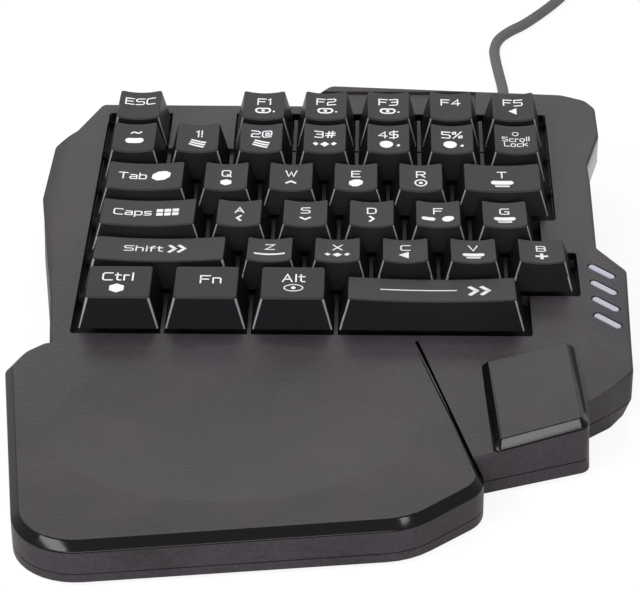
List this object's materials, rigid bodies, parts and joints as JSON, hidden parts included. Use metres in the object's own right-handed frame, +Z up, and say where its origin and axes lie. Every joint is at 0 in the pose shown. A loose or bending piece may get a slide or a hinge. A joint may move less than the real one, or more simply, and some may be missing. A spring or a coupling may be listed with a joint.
{
  "type": "gaming keypad",
  "caption": "One-handed gaming keypad with rows of sprung keys, a raised palm rest, a thumb pad, light bars and a coiled USB lead.",
  "frame": {"origin": "centre of the case's base, on the desk", "axes": "+X to the right, +Y to the rear where the lead leaves, +Z up"},
  "size_m": [0.1765, 0.4416, 0.0376],
  "materials": {
    "case_black": "fine matte texture",
    "key_black": "smooth satin, with white legends",
    "inner_black": "plain moulded",
    "silicone": "translucent silicone rubber",
    "film": "clear film with printed tracks",
    "diffuser": "white light-guide panel",
    "lens": "milky light guide",
    "board": "lacquered circuit board",
    "steel": "plain steel",
    "nickel": "nickel plated",
    "rubber": "matte rubber",
    "cable": "smooth matte jacket"
  },
  "bodies": {
    "case": {"top_shell": "case_black", "bottom_shell": "case_black", "guide_plate": "inner_black", "rubber_dome_sheet": "silicone", "membrane_sheet": "film", "backlight_panel": "diffuser", "light_bar_lens": "lens", "controller_board": "board", "strain_relief": "rubber", "cable_tube": "cable", "cable_coil": "cable", "cable_tie": "rubber", "usb_plug_body": "rubber", "usb_plug_shell": "nickel", "screw_palm_left": "steel", "screw_palm_right": "steel", "screw_left": "steel", "screw_right": "steel", "screw_rear": "steel", "pad_palm_left": "rubber", "pad_palm_right": "rubber", "pad_rear_left": "rubber", "pad_rear_right": "rubber"},
    "key_ctrl": {"key_ctrl": "key_black"},
    "key_fn": {"key_fn": "key_black"},
    "key_alt": {"key_alt": "key_black"},
    "key_space": {"key_space": "key_black"},
    "key_shift": {"key_shift": "key_black"},
    "key_z": {"key_z": "key_black"},
    "key_x": {"key_x": "key_black"},
    "key_c": {"key_c": "key_black"},
    "key_v": {"key_v": "key_black"},
    "key_b": {"key_b": "key_black"},
    "key_caps": {"key_caps": "key_black"},
    "key_a": {"key_a": "key_black"},
    "key_s": {"key_s": "key_black"},
    "key_d": {"key_d": "key_black"},
    "key_f": {"key_f": "key_black"},
    "key_g": {"key_g": "key_black"},
    "key_tab": {"key_tab": "key_black"},
    "key_q": {"key_q": "key_black"},
    "key_w": {"key_w": "key_black"},
    "key_e": {"key_e": "key_black"},
    "key_r": {"key_r": "key_black"},
    "key_t": {"key_t": "key_black"},
    "key_tilde": {"key_tilde": "key_black"},
    "key_1": {"key_1": "key_black"},
    "key_2": {"key_2": "key_black"},
    "key_3": {"key_3": "key_black"},
    "key_4": {"key_4": "key_black"},
    "key_5": {"key_5": "key_black"},
    "key_lock": {"key_lock": "key_black"},
    "key_esc": {"key_esc": "key_black"},
    "key_f1": {"key_f1": "key_black"},
    "key_f2": {"key_f2": "key_black"},
    "key_f3": {"key_f3": "key_black"},
    "key_f4": {"key_f4": "key_black"},
    "key_f5": {"key_f5": "key_black"},
    "space_wire": {"space_stabiliser": "steel"},
    "shift_wire": {"shift_stabiliser": "steel"}
  },
  "joints": [
    {"name": "key_ctrl_press", "type": "slide", "parent": "case", "child": "key_ctrl", "axis": [0, 0.1045, -0.9945], "range_m": [0, 0.0032], "stiffness_N_per_m": 200, "springref_m": -0.0025, "deforming": ["rubber_dome_sheet"]},
    {"name": "key_fn_press", "type": "slide", "parent": "case", "child": "key_fn", "axis": [0, 0.1045, -0.9945], "range_m": [0, 0.0032], "stiffness_N_per_m": 200, "springref_m": -0.0025, "deforming": ["rubber_dome_sheet"]},
    {"name": "key_alt_press", "type": "slide", "parent": "case", "child": "key_alt", "axis": [0, 0.1045, -0.9945], "range_m": [0, 0.0032], "stiffness_N_per_m": 200, "springref_m": -0.0025, "deforming": ["rubber_dome_sheet"]},
    {"name": "key_space_press", "type": "slide", "parent": "case", "child": "key_space", "axis": [0, 0.1045, -0.9945], "range_m": [0, 0.0032], "stiffness_N_per_m": 200, "springref_m": -0.0025, "deforming": ["rubber_dome_sheet"]},
    {"name": "key_shift_press", "type": "slide", "parent": "case", "child": "key_shift", "axis": [0, 0.1045, -0.9945], "range_m": [0, 0.0032], "stiffness_N_per_m": 200, "springref_m": -0.0025, "deforming": ["rubber_dome_sheet"]},
    {"name": "key_z_press", "type": "slide", "parent": "case", "child": "key_z", "axis": [0, 0.1045, -0.9945], "range_m": [0, 0.0032], "stiffness_N_per_m": 200, "springref_m": -0.0025, "deforming": ["rubber_dome_sheet"]},
    {"name": "key_x_press", "type": "slide", "parent": "case", "child": "key_x", "axis": [0, 0.1045, -0.9945], "range_m": [0, 0.0032], "stiffness_N_per_m": 200, "springref_m": -0.0025, "deforming": ["rubber_dome_sheet"]},
    {"name": "key_c_press", "type": "slide", "parent": "case", "child": "key_c", "axis": [0, 0.1045, -0.9945], "range_m": [0, 0.0032], "stiffness_N_per_m": 200, "springref_m": -0.0025, "deforming": ["rubber_dome_sheet"]},
    {"name": "key_v_press", "type": "slide", "parent": "case", "child": "key_v", "axis": [0, 0.1045, -0.9945], "range_m": [0, 0.0032], "stiffness_N_per_m": 200, "springref_m": -0.0025, "deforming": ["rubber_dome_sheet"]},
    {"name": "key_b_press", "type": "slide", "parent": "case", "child": "key_b", "axis": [0, 0.1045, -0.9945], "range_m": [0, 0.0032], "stiffness_N_per_m": 200, "springref_m": -0.0025, "deforming": ["rubber_dome_sheet"]},
    {"name": "key_caps_press", "type": "slide", "parent": "case", "child": "key_caps", "axis": [0, 0.1045, -0.9945], "range_m": [0, 0.0032], "stiffness_N_per_m": 200, "springref_m": -0.0025, "deforming": ["rubber_dome_sheet"]},
    {"name": "key_a_press", "type": "slide", "parent": "case", "child": "key_a", "axis": [0, 0.1045, -0.9945], "range_m": [0, 0.0032], "stiffness_N_per_m": 200, "springref_m": -0.0025, "deforming": ["rubber_dome_sheet"]},
    {"name": "key_s_press", "type": "slide", "parent": "case", "child": "key_s", "axis": [0, 0.1045, -0.9945], "range_m": [0, 0.0032], "stiffness_N_per_m": 200, "springref_m": -0.0025, "deforming": ["rubber_dome_sheet"]},
    {"name": "key_d_press", "type": "slide", "parent": "case", "child": "key_d", "axis": [0, 0.1045, -0.9945], "range_m": [0, 0.0032], "stiffness_N_per_m": 200, "springref_m": -0.0025, "deforming": ["rubber_dome_sheet"]},
    {"name": "key_f_press", "type": "slide", "parent": "case", "child": "key_f", "axis": [0, 0.1045, -0.9945], "range_m": [0, 0.0032], "stiffness_N_per_m": 200, "springref_m": -0.0025, "deforming": ["rubber_dome_sheet"]},
    {"name": "key_g_press", "type": "slide", "parent": "case", "child": "key_g", "axis": [0, 0.1045, -0.9945], "range_m": [0, 0.0032], "stiffness_N_per_m": 200, "springref_m": -0.0025, "deforming": ["rubber_dome_sheet"]},
    {"name": "key_tab_press", "type": "slide", "parent": "case", "child": "key_tab", "axis": [0, 0.1045, -0.9945], "range_m": [0, 0.0032], "stiffness_N_per_m": 200, "springref_m": -0.0025, "deforming": ["rubber_dome_sheet"]},
    {"name": "key_q_press", "type": "slide", "parent": "case", "child": "key_q", "axis": [0, 0.1045, -0.9945], "range_m": [0, 0.0032], "stiffness_N_per_m": 200, "springref_m": -0.0025, "deforming": ["rubber_dome_sheet"]},
    {"name": "key_w_press", "type": "slide", "parent": "case", "child": "key_w", "axis": [0, 0.1045, -0.9945], "range_m": [0, 0.0032], "stiffness_N_per_m": 200, "springref_m": -0.0025, "deforming": ["rubber_dome_sheet"]},
    {"name": "key_e_press", "type": "slide", "parent": "case", "child": "key_e", "axis": [0, 0.1045, -0.9945], "range_m": [0, 0.0032], "stiffness_N_per_m": 200, "springref_m": -0.0025, "deforming": ["rubber_dome_sheet"]},
    {"name": "key_r_press", "type": "slide", "parent": "case", "child": "key_r", "axis": [0, 0.1045, -0.9945], "range_m": [0, 0.0032], "stiffness_N_per_m": 200, "springref_m": -0.0025, "deforming": ["rubber_dome_sheet"]},
    {"name": "key_t_press", "type": "slide", "parent": "case", "child": "key_t", "axis": [0, 0.1045, -0.9945], "range_m": [0, 0.0032], "stiffness_N_per_m": 200, "springref_m": -0.0025, "deforming": ["rubber_dome_sheet"]},
    {"name": "key_tilde_press", "type": "slide", "parent": "case", "child": "key_tilde", "axis": [0, 0.1045, -0.9945], "range_m": [0, 0.0032], "stiffness_N_per_m": 200, "springref_m": -0.0025, "deforming": ["rubber_dome_sheet"]},
    {"name": "key_1_press", "type": "slide", "parent": "case", "child": "key_1", "axis": [0, 0.1045, -0.9945], "range_m": [0, 0.0032], "stiffness_N_per_m": 200, "springref_m": -0.0025, "deforming": ["rubber_dome_sheet"]},
    {"name": "key_2_press", "type": "slide", "parent": "case", "child": "key_2", "axis": [0, 0.1045, -0.9945], "range_m": [0, 0.0032], "stiffness_N_per_m": 200, "springref_m": -0.0025, "deforming": ["rubber_dome_sheet"]},
    {"name": "key_3_press", "type": "slide", "parent": "case", "child": "key_3", "axis": [0, 0.1045, -0.9945], "range_m": [0, 0.0032], "stiffness_N_per_m": 200, "springref_m": -0.0025, "deforming": ["rubber_dome_sheet"]},
    {"name": "key_4_press", "type": "slide", "parent": "case", "child": "key_4", "axis": [0, 0.1045, -0.9945], "range_m": [0, 0.0032], "stiffness_N_per_m": 200, "springref_m": -0.0025, "deforming": ["rubber_dome_sheet"]},
    {"name": "key_5_press", "type": "slide", "parent": "case", "child": "key_5", "axis": [0, 0.1045, -0.9945], "range_m": [0, 0.0032], "stiffness_N_per_m": 200, "springref_m": -0.0025, "deforming": ["rubber_dome_sheet"]},
    {"name": "key_lock_press", "type": "slide", "parent": "case", "child": "key_lock", "axis": [0, 0.1045, -0.9945], "range_m": [0, 0.0032], "stiffness_N_per_m": 200, "springref_m": -0.0025, "deforming": ["rubber_dome_sheet"]},
    {"name": "key_esc_press", "type": "slide", "parent": "case", "child": "key_esc", "axis": [0, 0.1045, -0.9945], "range_m": [0, 0.0032], "stiffness_N_per_m": 200, "springref_m": -0.0025, "deforming": ["rubber_dome_sheet"]},
    {"name": "key_f1_press", "type": "slide", "parent": "case", "child": "key_f1", "axis": [0, 0.1045, -0.9945], "range_m": [0, 0.0032], "stiffness_N_per_m": 200, "springref_m": -0.0025, "deforming": ["rubber_dome_sheet"]},
    {"name": "key_f2_press", "type": "slide", "parent": "case", "child": "key_f2", "axis": [0, 0.1045, -0.9945], "range_m": [0, 0.0032], "stiffness_N_per_m": 200, "springref_m": -0.0025, "deforming": ["rubber_dome_sheet"]},
    {"name": "key_f3_press", "type": "slide", "parent": "case", "child": "key_f3", "axis": [0, 0.1045, -0.9945], "range_m": [0, 0.0032], "stiffness_N_per_m": 200, "springref_m": -0.0025, "deforming": ["rubber_dome_sheet"]},
    {"name": "key_f4_press", "type": "slide", "parent": "case", "child": "key_f4", "axis": [0, 0.1045, -0.9945], "range_m": [0, 0.0032], "stiffness_N_per_m": 200, "springref_m": -0.0025, "deforming": ["rubber_dome_sheet"]},
    {"name": "key_f5_press", "type": "slide", "parent": "case", "child": "key_f5", "axis": [0, 0.1045, -0.9945], "range_m": [0, 0.0032], "stiffness_N_per_m": 200, "springref_m": -0.0025, "deforming": ["rubber_dome_sheet"]},
    {"name": "space_wire_turn", "type": "hinge", "parent": "case", "child": "space_wire", "pos_m": [0.02954, -0.00362, 0.01424], "axis": [1, 0, 0], "range_deg": [0, 19.2]},
    {"name": "shift_wire_turn", "type": "hinge", "parent": "case", "child": "shift_wire", "pos_m": [-0.04666, 0.01532, 0.01623], "axis": [1, 0, 0], "range_deg": [0, 19.2]}
  ],
  "couplings": [
    {"joint": "space_wire_turn", "follows": "key_space_press", "rad_per_m": 104.1},
    {"joint": "shift_wire_turn", "follows": "key_shift_press", "rad_per_m": 104.1}
  ]
}
